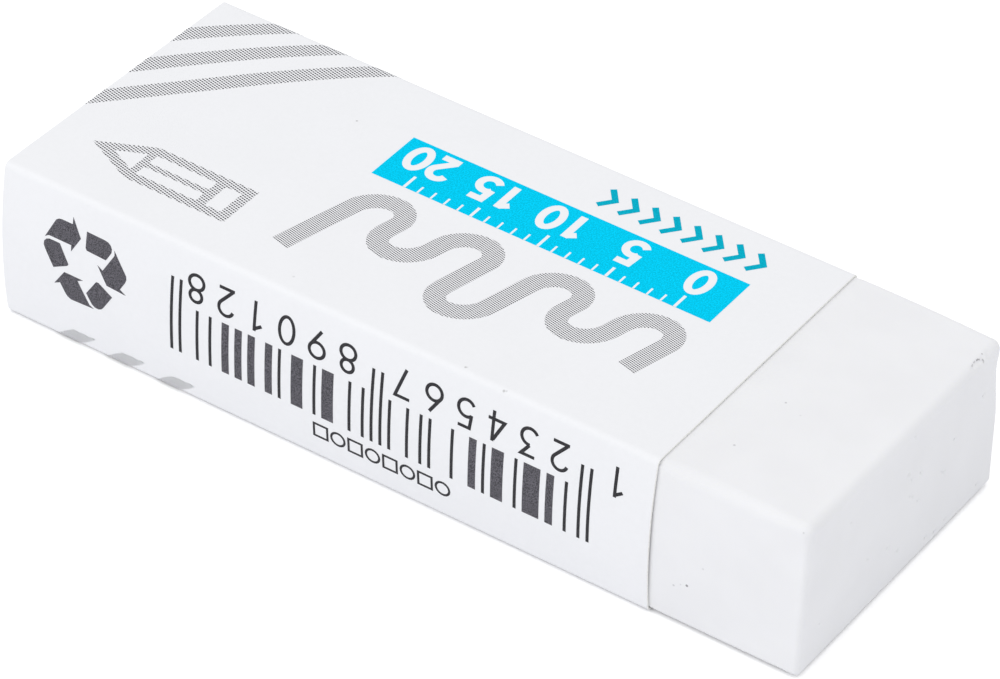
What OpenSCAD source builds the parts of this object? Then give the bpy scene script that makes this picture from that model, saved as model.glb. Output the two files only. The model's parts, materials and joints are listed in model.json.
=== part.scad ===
// A block of white drawing rubber in a printed card sleeve.
// X runs along the block, towards the bare end. Y runs across it, towards the glued side of the sleeve.
// Z is up. The origin is at the middle of the footprint, on the face that the sleeve lies on.

/* [Rubber block] */
// Length of the block
block_length = 58.7; // [50:0.1:80]
// Width of the block
block_width = 22.2; // [14:0.1:40]
// Height of the block
block_height = 11.4; // [9:0.1:20]
// Rounding of the long edge on top at the plain side
plain_edge_radius = 0.9; // [0.3:0.1:2]
// Rounding of the long edge on top at the glued side
glued_edge_radius = 0.3; // [0.3:0.1:2]
// Rounding of the end edges on top
end_edge_radius = 0.6; // [0.3:0.1:2]
// Rounding of the four upright edges
upright_edge_radius = 0.4; // [0.2:0.1:2]
// Rounding of all the edges underneath
bottom_edge_radius = 0.6; // [0.3:0.1:1.5]

/* [Card sleeve] */
// Length of the sleeve, along the block
sleeve_length = 48.5; // [30:0.1:50]
// Thickness of the card
card_thickness = 0.15; // [0.1:0.05:0.5]
// How far the narrow sides bow outwards between their folds
side_bow = 0.4; // [0.2:0.05:0.8]
// Height of the glued flap's free edge above the underside
flap_edge_height = 3.5; // [2:0.1:6]
// Gap between the fold on top and the free edge of the outer lap
lap_edge_gap = 0.8; // [0.1:0.05:2]

/* [Fit] */
// Running clearance between the block and the card, on each side
sleeve_clearance = 0.05; // [0.05:0.05:0.3]
// How far the block's covered end lies inside the sleeve's end
end_setback = 0.3; // [0:0.1:2]
// Thickness of the glue between the flap and the lap
glue_line = 0.05; // [0.02:0.01:0.1]

/* [Hidden] */
$fn = 96;

// The cavity that the card is folded round, and the sleeve's outside without its bow.
cavity_width = block_width + 2 * sleeve_clearance;
cavity_height = block_height + 2 * sleeve_clearance;
sleeve_width = cavity_width + 2 * card_thickness;
sleeve_height = cavity_height + 2 * card_thickness;

// The card is creased round the block, so its folds are as tight as the crispest long edge allows.
crispest_radius = min(plain_edge_radius, glued_edge_radius, bottom_edge_radius);
fold_radius = crispest_radius + sleeve_clearance + card_thickness;

// The lap makes the glued side thicker, so everything else sits half of that towards the plain side.
lap_offset = card_thickness + glue_line;
section_shift = -lap_offset / 2;
overall_length = block_length + end_setback;
far_end = -overall_length / 2;
covered_end = far_end + end_setback;
block_floor = card_thickness + sleeve_clearance;

// Each bowed side is one arc that runs into the folds above and below it without a corner.
// fold_rise is the height of a fold's centre above or below the middle of the side.
middle_height = sleeve_height / 2;
upper_fold_height = sleeve_height - fold_radius;
fold_rise = middle_height - fold_radius;
fold_centre = sleeve_width / 2 - fold_radius;
bow_radius = fold_radius + (pow(fold_rise, 2) + pow(side_bow, 2)) / (2 * side_bow);
bow_centre = sleeve_width / 2 + side_bow - bow_radius;
bow_angle = asin(fold_rise / (bow_radius - fold_radius));

// The lap lies over the flap, on an arc with the same centre.
lap_radius = bow_radius + lap_offset;
lap_angle = asin(fold_rise / (lap_radius - fold_radius));
lap_fold_centre = bow_centre + (lap_radius - fold_radius) * cos(lap_angle);
lap_edge_height = upper_fold_height - lap_edge_gap;
lap_edge_angle = asin((lap_edge_height - middle_height) / lap_radius);
flap_edge_angle = asin((flap_edge_height - middle_height) / bow_radius);

// Most that a folded arc's straight steps may depart from the true curve
arc_tolerance = 0.002;

// The card as one strip, seen along X. Each row is a bend: its centre, outer radius, first and last angle.
// It starts at the glued flap's free edge, runs over the top, down the plain side and back underneath,
// and ends at the free edge of the lap. The flat panels are the straight runs from one bend to the next.
strip_bends = [
    [[bow_centre, middle_height], bow_radius, flap_edge_angle, bow_angle],
    [[fold_centre, upper_fold_height], fold_radius, bow_angle, 90],
    [[-fold_centre, upper_fold_height], fold_radius, 90, 180 - bow_angle],
    [[-bow_centre, middle_height], bow_radius, 180 - bow_angle, 180 + bow_angle],
    [[-fold_centre, fold_radius], fold_radius, 180 + bow_angle, 270],
    [[lap_fold_centre, fold_radius], fold_radius, 270, 360 - lap_angle],
    [[bow_centre, middle_height], lap_radius, 360 - lap_angle, 360 + lap_edge_angle]
];

// How many straight steps keep a bend within the tolerance.
function bend_steps(bend) =
    ceil((bend[3] - bend[2]) / (2 * acos(1 - arc_tolerance / bend[1])));

// The points of one face of a bend, so far inside its outer face.
function bend_points(bend, depth) = [
    for (i = [0:bend_steps(bend)])
        let (angle = bend[2] + (bend[3] - bend[2]) * i / bend_steps(bend))
            bend[0] + (bend[1] - depth) * [cos(angle), sin(angle)]
];

// The points of one face of the whole strip.
function strip_points(depth) = [
    for (bend = strip_bends)
        for (point = bend_points(bend, depth))
            point
];

function reversed(points) = [for (i = [len(points) - 1:-1:0]) points[i]];

// The part of a square corner that a rounding takes away, with the corner at the sketch's origin.
module corner_waste(radius) {
    difference() {
        square(2 * radius, center = true);
        translate([-radius, -radius])
            circle(radius);
        translate([-2 * radius, -radius])
            square([radius, 2 * radius]);
        translate([-radius, -2 * radius])
            square([2 * radius, radius]);
    }
}

// A rectangle that stands on the sketch's X axis, with its corners rounded. The upper two each have
// a radius of their own, the one on the right first.
module rounded_rectangle(width, height, upper_radii, lower_radius) {
    difference() {
        translate([-width / 2, 0])
            square([width, height]);
        for (side = [0, 1])
            mirror([side, 0]) {
                translate([width / 2, height])
                    corner_waste(upper_radii[side]);
                translate([width / 2, 0])
                    mirror([0, 1])
                        corner_waste(lower_radius);
            }
    }
}

module rubber_block() {
    block_middle = covered_end + block_length / 2;
    long_edges = [glued_edge_radius, plain_edge_radius];
    end_edges = [end_edge_radius, end_edge_radius];
    upright = upright_edge_radius;
    color("whitesmoke")
        translate([block_middle, section_shift, block_floor])
            intersection() {
                // Section across the block, carried along it
                rotate([90, 0, 90])
                    linear_extrude(height = block_length, center = true)
                        rounded_rectangle(block_width, block_height, long_edges, bottom_edge_radius);
                // Section along the block, carried across it
                rotate([90, 0, 0])
                    linear_extrude(height = block_width, center = true)
                        rounded_rectangle(block_length, block_height, end_edges, bottom_edge_radius);
                // Plan of the block, carried up
                linear_extrude(height = block_height)
                    translate([0, -block_width / 2])
                        rounded_rectangle(block_length, block_width, [upright, upright], upright);
            }
}

module card_sleeve() {
    color("white")
        translate([far_end, section_shift, 0])
            rotate([90, 0, 90])
                linear_extrude(height = sleeve_length)
                    polygon(concat(strip_points(0), reversed(strip_points(card_thickness))));
}

rubber_block();
card_sleeve();
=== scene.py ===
"""A block of white drawing rubber in a printed card sleeve, dressed around its packed construction.

X runs along the block towards its bare end, Y across it towards the glued side of the sleeve, and Z up.
Shapes are worked out in millimetres and become metres when their mesh is made.
"""

import json
import logging
import math
from dataclasses import dataclass, field
from enum import Enum
from typing import Any, Iterable, Sequence, Union

import bmesh
import bpy
import numpy as np
from mathutils import Matrix, Vector

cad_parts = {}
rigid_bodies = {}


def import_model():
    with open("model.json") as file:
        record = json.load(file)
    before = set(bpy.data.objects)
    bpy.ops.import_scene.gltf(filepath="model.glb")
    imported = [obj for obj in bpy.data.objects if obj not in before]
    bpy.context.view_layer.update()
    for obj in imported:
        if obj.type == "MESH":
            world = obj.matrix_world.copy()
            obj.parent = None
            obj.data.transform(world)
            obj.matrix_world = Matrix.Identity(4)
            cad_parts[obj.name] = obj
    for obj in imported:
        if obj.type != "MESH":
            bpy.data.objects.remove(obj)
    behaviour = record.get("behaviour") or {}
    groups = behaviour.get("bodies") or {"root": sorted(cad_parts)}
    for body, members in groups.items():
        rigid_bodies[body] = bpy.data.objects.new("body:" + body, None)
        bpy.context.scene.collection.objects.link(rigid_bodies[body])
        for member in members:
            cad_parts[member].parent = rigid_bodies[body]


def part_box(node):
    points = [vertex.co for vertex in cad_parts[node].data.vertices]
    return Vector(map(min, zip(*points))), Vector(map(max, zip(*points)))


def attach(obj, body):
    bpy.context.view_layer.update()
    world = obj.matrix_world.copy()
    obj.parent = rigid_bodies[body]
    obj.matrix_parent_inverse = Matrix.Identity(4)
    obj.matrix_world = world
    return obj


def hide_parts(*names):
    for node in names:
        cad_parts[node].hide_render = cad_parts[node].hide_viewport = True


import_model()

MM = 0.001

log = logging.getLogger("eraser")

Array = np.ndarray
Colour = tuple[float, float, float]

WHITE: Colour = (1.0, 1.0, 1.0)
CARD_WHITE: Colour = (0.884, 0.889, 0.906)


# ---- Shader arithmetic ----


class Signal:
    """A socket of a material that takes part in Python arithmetic, one Math node for each step."""

    def __init__(self, recipe: "Recipe", socket: bpy.types.NodeSocket) -> None:
        """Holds a socket and the recipe that its nodes belong to."""
        self.recipe = recipe
        self.socket = socket

    def math(self, operation: str, first: "Operand", second: "Operand" = 0.0) -> "Signal":
        """The result of one Math node on two values."""
        node = self.recipe.node("ShaderNodeMath", {"operation": operation}, {0: first, 1: second})
        return Signal(self.recipe, node.outputs[0])

    def __add__(self, other: "Operand") -> "Signal":
        """This plus other."""
        return self.math("ADD", self, other)

    __radd__ = __add__

    def __sub__(self, other: "Operand") -> "Signal":
        """This less other."""
        return self.math("SUBTRACT", self, other)

    def __rsub__(self, other: "Operand") -> "Signal":
        """The other less this."""
        return self.math("SUBTRACT", other, self)

    def __mul__(self, other: "Operand") -> "Signal":
        """This times other."""
        return self.math("MULTIPLY", self, other)

    __rmul__ = __mul__

    def cosine(self) -> "Signal":
        """The cosine of this angle in radians."""
        return self.math("COSINE", self)

    def ramp(self, low: float, high: float) -> "Signal":
        """Rises smoothly from 0 to 1 while this goes from low to high, of which high may be the smaller."""
        node = self.recipe.node("ShaderNodeMapRange", {"interpolation_type": "SMOOTHSTEP"}, {0: self, 1: low, 2: high})
        return Signal(self.recipe, node.outputs[0])


Operand = Union[Signal, bpy.types.NodeSocket, float, Sequence[float]]


@dataclass(frozen=True)
class Spot:
    """A small dark spot on a surface: its middle and radius in millimetres, and how dark it is, up to 1."""

    middle: tuple[float, float, float]
    radius: float
    darkness: float


class Recipe:
    """The node tree of one material, built one node at a time."""

    def __init__(self, name: str) -> None:
        """Makes an empty material with its output node.

        Args:
            name: The material's name.
        """
        self.material = bpy.data.materials.new(name)
        self.material.use_nodes = True
        self.tree = self.material.node_tree
        self.tree.nodes.clear()
        self.output = self.node("ShaderNodeOutputMaterial")

    def node(
        self,
        kind: str,
        settings: dict[str, Any] | None = None,
        inputs: dict[str | int, "Operand"] | None = None,
    ) -> bpy.types.Node:
        """Adds a node, sets what it is first and what its sockets hold after.

        Args:
            kind: The node's type.
            settings: Its own properties, such as a Math node's operation.
            inputs: Values or links, by the socket's name or number.

        Returns:
            The new node.
        """
        node = self.tree.nodes.new(kind)
        for name, value in (settings or {}).items():
            setattr(node, name, value)
        for key, value in (inputs or {}).items():
            self.feed(node.inputs[key], value)
        return node

    def feed(self, socket: bpy.types.NodeSocket, value: "Operand") -> None:
        """Links a socket to a signal, or sets it to a number or a colour.

        Args:
            socket: The socket to fill.
            value: What goes into it.
        """
        if isinstance(value, Signal):
            value = value.socket
        if isinstance(value, bpy.types.NodeSocket):
            self.tree.links.new(value, socket)
        elif socket.type == "RGBA" and len(value) == 3:
            socket.default_value = (*value, 1.0)
        else:
            socket.default_value = value

    def place(self) -> Signal:
        """Where the surface is, in millimetres of the part's own frame."""
        inputs = {0: self.node("ShaderNodeTexCoord").outputs["Object"], "Scale": 1 / MM}
        return Signal(self, self.node("ShaderNodeVectorMath", {"operation": "SCALE"}, inputs).outputs[0])

    def sheet_place(self) -> tuple[Signal, Signal]:
        """Where a print is on the unfolded card: millimetres along the block and round the sleeve."""
        parts = self.node("ShaderNodeSeparateXYZ", None, {0: self.node("ShaderNodeUVMap").outputs[0]})
        return Signal(self, parts.outputs[0]), Signal(self, parts.outputs[1])

    def cloud(self, where: Signal, grain: float, detail: float = 2.0) -> Signal:
        """Soft noise around 0.5, with patches of the grain's size in millimetres and some finer layers."""
        inputs = {"Vector": where, "Scale": 1 / grain, "Detail": detail}
        return Signal(self, self.node("ShaderNodeTexNoise", None, inputs).outputs[0])

    def marks(self, where: Signal, spots: Sequence["Spot"]) -> Signal:
        """Single dark spots, such as flecks and the painted shade in pin-holes.

        Args:
            where: The place in millimetres.
            spots: The spots, whose darkness adds up where they touch.

        Returns:
            A spot's darkness inside it and 0 around it.
        """
        total: Operand = 0.0
        for spot in spots:
            inputs = {0: where.socket, 1: spot.middle}
            away = self.node("ShaderNodeVectorMath", {"operation": "DISTANCE"}, inputs)
            total = total + Signal(self, away.outputs["Value"]).ramp(spot.radius, 0.3 * spot.radius) * spot.darkness
        return total

    def specks(self, where: Signal, spacing: float, size: float, share: float) -> Signal:
        """Small round dots scattered one to a cell, in a share of the cells.

        Args:
            where: The place in millimetres.
            spacing: The cells' size in millimetres.
            size: The dots' radius in millimetres.
            share: How many of the cells have a dot, from 0 to 1.

        Returns:
            1 in a dot and 0 around it.
        """
        cells = self.node("ShaderNodeTexVoronoi", None, {"Vector": where, "Scale": 1 / spacing})
        distance = Signal(self, cells.outputs["Distance"])
        chosen = self.node("ShaderNodeSeparateColor", None, {0: cells.outputs["Color"]})
        chance = Signal(self, chosen.outputs[0])
        edge = size / spacing
        return distance.ramp(edge, 0.4 * edge) * chance.ramp(share + 0.01, share)

    def blend(self, share: Operand, first: Operand, second: Operand) -> bpy.types.NodeSocket:
        """Mixes two colours: a share of 0 is all the first and 1 all the second."""
        return self.node("ShaderNodeMix", {"data_type": "RGBA"}, {0: share, 6: first, 7: second}).outputs[2]

    def relief(self, height: Signal, depth: float) -> bpy.types.NodeSocket:
        """Turns a height into a bumped normal, where a height of 1 stands for the depth in millimetres."""
        inputs = {"Strength": 1.0, "Distance": depth * MM, "Height": height}
        return self.node("ShaderNodeBump", None, inputs).outputs[0]

    def surface(self, **sockets: Operand) -> bpy.types.Material:
        """Ends the recipe with one Principled shader.

        Args:
            **sockets: Its sockets by name, with an underscore for each space.

        Returns:
            The finished material.
        """
        inputs = {name.replace("_", " "): value for name, value in sockets.items()}
        shader = self.node("ShaderNodeBsdfPrincipled", None, inputs)
        self.feed(self.output.inputs[0], shader.outputs[0])
        return self.material


# ---- Finishes ----


@dataclass(frozen=True)
class WhiteRubber:
    """Matt white drawing rubber: cloudy in tone, faintly grained, with dust, dark spots and painted shade in its
    pin-holes.
    """

    tone: Colour = (0.870, 0.872, 0.885)
    cloudy_tone: Colour = (0.852, 0.853, 0.866)
    dust_tone: Colour = (0.52, 0.51, 0.53)
    roughness: float = 0.62
    patch_size: float = 4.0
    grain_size: float = 0.09
    swell_size: float = 1.6
    grain_depth: float = 0.004
    dust_spacing: float = 2.6
    dust_radius: float = 0.10
    dust_share: float = 0.16
    dust_strength: float = 0.7
    # colour and places of dark spots: painted shade in the pin-holes and nicks, and single dark spots
    hole_tone: Colour = (0.20, 0.19, 0.20)
    holes: tuple[Spot, ...] = ()

    def material(self) -> bpy.types.Material:
        """Mixes the finish.

        Returns:
            The material.
        """
        recipe = Recipe("white_rubber")
        where = recipe.place()
        base = recipe.blend(recipe.cloud(where, self.patch_size).ramp(0.3, 0.7), self.tone, self.cloudy_tone)
        # painted shade: the pits' dark spots darken the tone, together with the single dark spots
        base = recipe.blend(recipe.marks(where, self.holes), base, self.hole_tone)
        dust = recipe.specks(where, self.dust_spacing, self.dust_radius, self.dust_share)
        grain = recipe.cloud(where, self.grain_size, 3.0)
        swell = recipe.cloud(where, self.swell_size, 1.0)
        return recipe.surface(
            Base_Color=recipe.blend(dust * self.dust_strength, base, self.dust_tone),
            Roughness=self.roughness + grain * 0.06,
            Specular_IOR_Level=0.25,
            Subsurface_Weight=0.12,
            Subsurface_Radius=(0.9, 0.9, 1.0),
            Subsurface_Scale=MM,
            Normal=recipe.relief(grain * 0.35 + swell * 1.5, self.grain_depth),
        )


@dataclass(frozen=True)
class CoatedCard:
    """The printed face of the sleeve: white coated board with a soft sheen."""

    tone: Colour = CARD_WHITE
    fibre_tone: Colour = (0.872, 0.877, 0.893)
    speck_tone: Colour = (0.55, 0.55, 0.55)
    flecks: tuple[Spot, ...] = (
        Spot((7.99, -11.23, 11.66), 0.13, 0.9), Spot((8.15, -11.18, 11.69), 0.10, 0.5),
        Spot((4.98, -10.87, 11.79), 0.12, 0.9), Spot((5.07, -10.79, 11.79), 0.08, 0.4),
        Spot((-14.53, 5.44, 11.79), 0.11, 1.0), Spot((-8.37, -9.90, 11.79), 0.12, 0.4),
    )
    roughness: float = 0.48
    patch_size: float = 5.0
    fibre_size: float = 0.35
    fibre_depth: float = 0.003
    speck_spacing: float = 5.5
    speck_radius: float = 0.07
    speck_share: float = 0.10
    speck_strength: float = 0.3

    def material(self) -> bpy.types.Material:
        """Mixes the finish.

        Returns:
            The material.
        """
        recipe = Recipe("coated_card")
        where = recipe.place()
        fibre = recipe.cloud(where, self.fibre_size, 4.0)
        patches = recipe.cloud(where, self.patch_size)
        specks = recipe.specks(where, self.speck_spacing, self.speck_radius, self.speck_share)
        specks = specks * self.speck_strength + recipe.marks(where, self.flecks)
        base = recipe.blend((fibre * 0.5 + patches * 0.5).ramp(0.35, 0.65), self.tone, self.fibre_tone)
        return recipe.surface(
            Base_Color=recipe.blend(specks, base, self.speck_tone),
            Roughness=self.roughness + fibre * 0.08,
            Specular_IOR_Level=0.35,
            Normal=recipe.relief(fibre + patches * 2.0, self.fibre_depth),
        )


@dataclass(frozen=True)
class RawCard:
    """Uncoated board, as on the sleeve's inside and, paler, along its cut edges."""

    name: str = "raw_card"
    tone: Colour = (0.74, 0.735, 0.71)
    fibre_tone: Colour = (0.66, 0.655, 0.63)
    fibre_size: float = 0.12
    fibre_depth: float = 0.010

    def material(self) -> bpy.types.Material:
        """Mixes the finish.

        Returns:
            The material.
        """
        recipe = Recipe(self.name)
        fibre = recipe.cloud(recipe.place(), self.fibre_size, 5.0)
        return recipe.surface(
            Base_Color=recipe.blend(fibre.ramp(0.35, 0.65), self.tone, self.fibre_tone),
            Roughness=0.85 + fibre * 0.1,
            Specular_IOR_Level=0.15,
            Normal=recipe.relief(fibre, self.fibre_depth),
        )


@dataclass(frozen=True)
class Ink:
    """Printing ink in a fine dot screen on the card, or solid where the dots cover everything.

    The film of ink is uneven, so its tone is mottled, as far up and down as a share of itself.

    The dots stand on a square lattice that is turned by an angle: a dot's darkness is the sum of
    the cosines of the two lattice directions, of which one weighs more and so stretches the dots,
    cut off where the wanted share of the card is inked.
    """

    name: str
    tone: Colour
    bare_tone: Colour = CARD_WHITE
    cover: float = 1.0
    pitch: float = 0.156
    turn: float = 15.0
    weights: tuple[float, float] = (0.8, 1.2)
    roughness: float = 0.5
    gloss: float = 0.2
    mottle: float = 0.1
    mottle_size: float = 0.09
    cut_for_cover: float = 3.04
    dot_edge: float = 0.35
    film_relief: float = 0.0003

    def dots(self, recipe: Recipe) -> Signal:
        """The share of the card that ink covers at a point, from 0 to 1.

        Args:
            recipe: The recipe that the nodes go into.

        Returns:
            1 in a dot and 0 between the dots.
        """
        along, around = recipe.sheet_place()
        wave = 2 * math.pi / self.pitch
        across, up = wave * math.cos(math.radians(self.turn)), wave * math.sin(math.radians(self.turn))
        first = (along * across + around * up).cosine()
        second = (around * across - along * up).cosine()
        cut = self.cut_for_cover * (0.5 - self.cover)
        waves = first * self.weights[0] + second * self.weights[1]
        return waves.ramp(cut - self.dot_edge, cut + self.dot_edge)

    def material(self) -> bpy.types.Material:
        """Mixes the finish.

        Returns:
            The material.
        """
        recipe = Recipe(self.name)
        film = recipe.cloud(recipe.place(), self.mottle_size).ramp(0.38, 0.62)
        full, thin = (tuple(min(part * (1 + way * self.mottle), 1.0) for part in self.tone) for way in (-1, 1))
        inked = recipe.blend(film, full, thin)
        colour = inked if self.cover >= 1.0 else recipe.blend(self.dots(recipe), self.bare_tone, inked)
        return recipe.surface(
            Base_Color=colour,
            Roughness=self.roughness + film * 0.05,
            Specular_IOR_Level=self.gloss,
            Normal=recipe.relief(film, self.film_relief),
        )


class Inks(Enum):
    """The inks of the print."""

    BLACK = Ink("black_ink", (0.094, 0.090, 0.104), mottle=0.5, mottle_size=0.07)
    FINE_BLACK = Ink("fine_black_ink", (0.030, 0.029, 0.033), mottle=0.3)
    GREY = Ink("grey_screen", (0.048, 0.047, 0.052), cover=0.39)
    COARSE_GREY = Ink("coarse_grey_screen", (0.048, 0.047, 0.052), cover=0.38, pitch=0.195)
    CYAN = Ink("cyan_ink", (0.0022, 0.600, 0.879), gloss=0.0, mottle=0.14)
    DEEP_CYAN = Ink("deep_cyan_ink", (0.004, 0.42, 0.57), gloss=0.0, mottle=0.14)
    WHITE = Ink("knocked_out_white", CARD_WHITE, gloss=0.3, mottle=0.0)


# ---- Meshes ----


@dataclass
class Skin:
    """Points and four-cornered faces of one surface, with each face's finish and each point's sheet place."""

    points: Array
    faces: Array
    finish: Array
    sheet: Array | None = None

    @staticmethod
    def grid(points: Array, closed: bool = False, finish: int = 0, sheet: Array | None = None) -> "Skin":
        """Joins a grid of points into four-cornered faces.

        Args:
            points: Rows by columns by 3.
            closed: Whether the last column joins the first.
            finish: The number of the faces' finish.
            sheet: Rows by columns by 2, the points' places on the unfolded card.

        Returns:
            The surface.
        """
        rows, columns = points.shape[:2]
        number = np.arange(rows * columns).reshape(rows, columns)
        if closed:
            number = np.concatenate([number, number[:, :1]], axis=1)
        faces = np.stack([number[:-1, :-1], number[:-1, 1:], number[1:, 1:], number[1:, :-1]], axis=-1)
        faces = faces.reshape(-1, 4)
        flat_sheet = None if sheet is None else sheet.reshape(-1, 2)
        return Skin(points.reshape(-1, 3), faces, np.full(len(faces), finish), flat_sheet)

    @staticmethod
    def joined(skins: Sequence["Skin"]) -> "Skin":
        """Several surfaces as one.

        Args:
            skins: The surfaces.

        Returns:
            One surface that holds them all.
        """
        starts = np.cumsum([0] + [len(skin.points) for skin in skins[:-1]])
        return Skin(
            np.concatenate([skin.points for skin in skins]),
            np.concatenate([skin.faces + start for skin, start in zip(skins, starts)]),
            np.concatenate([skin.finish for skin in skins]),
            None if skins[0].sheet is None else np.concatenate([skin.sheet for skin in skins]),
        )

    def build(self, name: str, materials: Sequence[bpy.types.Material]) -> bpy.types.Object:
        """Makes the surface a smooth mesh in metres, with doubled points merged.

        Args:
            name: The piece's name.
            materials: Its finishes, in the order of the faces' numbers.

        Returns:
            The new object, at the origin.
        """
        mesh = bpy.data.meshes.new(name)
        mesh.vertices.add(len(self.points))
        mesh.vertices.foreach_set("co", (self.points * MM).astype(np.float32).ravel())
        mesh.loops.add(self.faces.size)
        mesh.loops.foreach_set("vertex_index", self.faces.astype(np.int32).ravel())
        mesh.polygons.add(len(self.faces))
        mesh.polygons.foreach_set("loop_start", np.arange(0, self.faces.size, 4, dtype=np.int32))
        mesh.polygons.foreach_set("material_index", self.finish.astype(np.int32))
        mesh.update(calc_edges=True)
        mesh.shade_smooth()
        if self.sheet is not None:
            layer = mesh.uv_layers.new(name="sheet")
            layer.data.foreach_set("uv", self.sheet[self.faces.ravel()].astype(np.float32).ravel())
        for material in materials:
            mesh.materials.append(material)
        shape = bmesh.new()
        shape.from_mesh(mesh)
        bmesh.ops.remove_doubles(shape, verts=shape.verts, dist=1e-8)
        shape.to_mesh(mesh)
        shape.free()
        edge_of_corner = np.zeros(len(mesh.loops), np.int32)
        mesh.loops.foreach_get("edge_index", edge_of_corner)
        rim = np.bincount(edge_of_corner, minlength=len(mesh.edges)) == 1
        mesh.attributes.new("sharp_edge", "BOOLEAN", "EDGE").data.foreach_set("value", rim)
        piece = bpy.data.objects.new(name, mesh)
        bpy.context.scene.collection.objects.link(piece)
        return piece


def smooth(reach: Array) -> Array:
    """A smooth step from 0 to 1 while the reach goes from 0 to 1."""
    reach = np.clip(reach, 0, 1)
    return reach**2 * (3 - 2 * reach)


def steps(first: float, last: float, pitch: float) -> Array:
    """Evenly spaced values from first to last, no further apart than pitch."""
    return np.linspace(first, last, max(2, math.ceil(abs(last - first) / pitch) + 1))


# ---- The rubber block ----


@dataclass(frozen=True)
class Pit:
    """A small dent or nick in the rubber: its middle, its radius and its depth, in millimetres."""

    middle: tuple[float, float, float]
    radius: float
    depth: float


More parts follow.
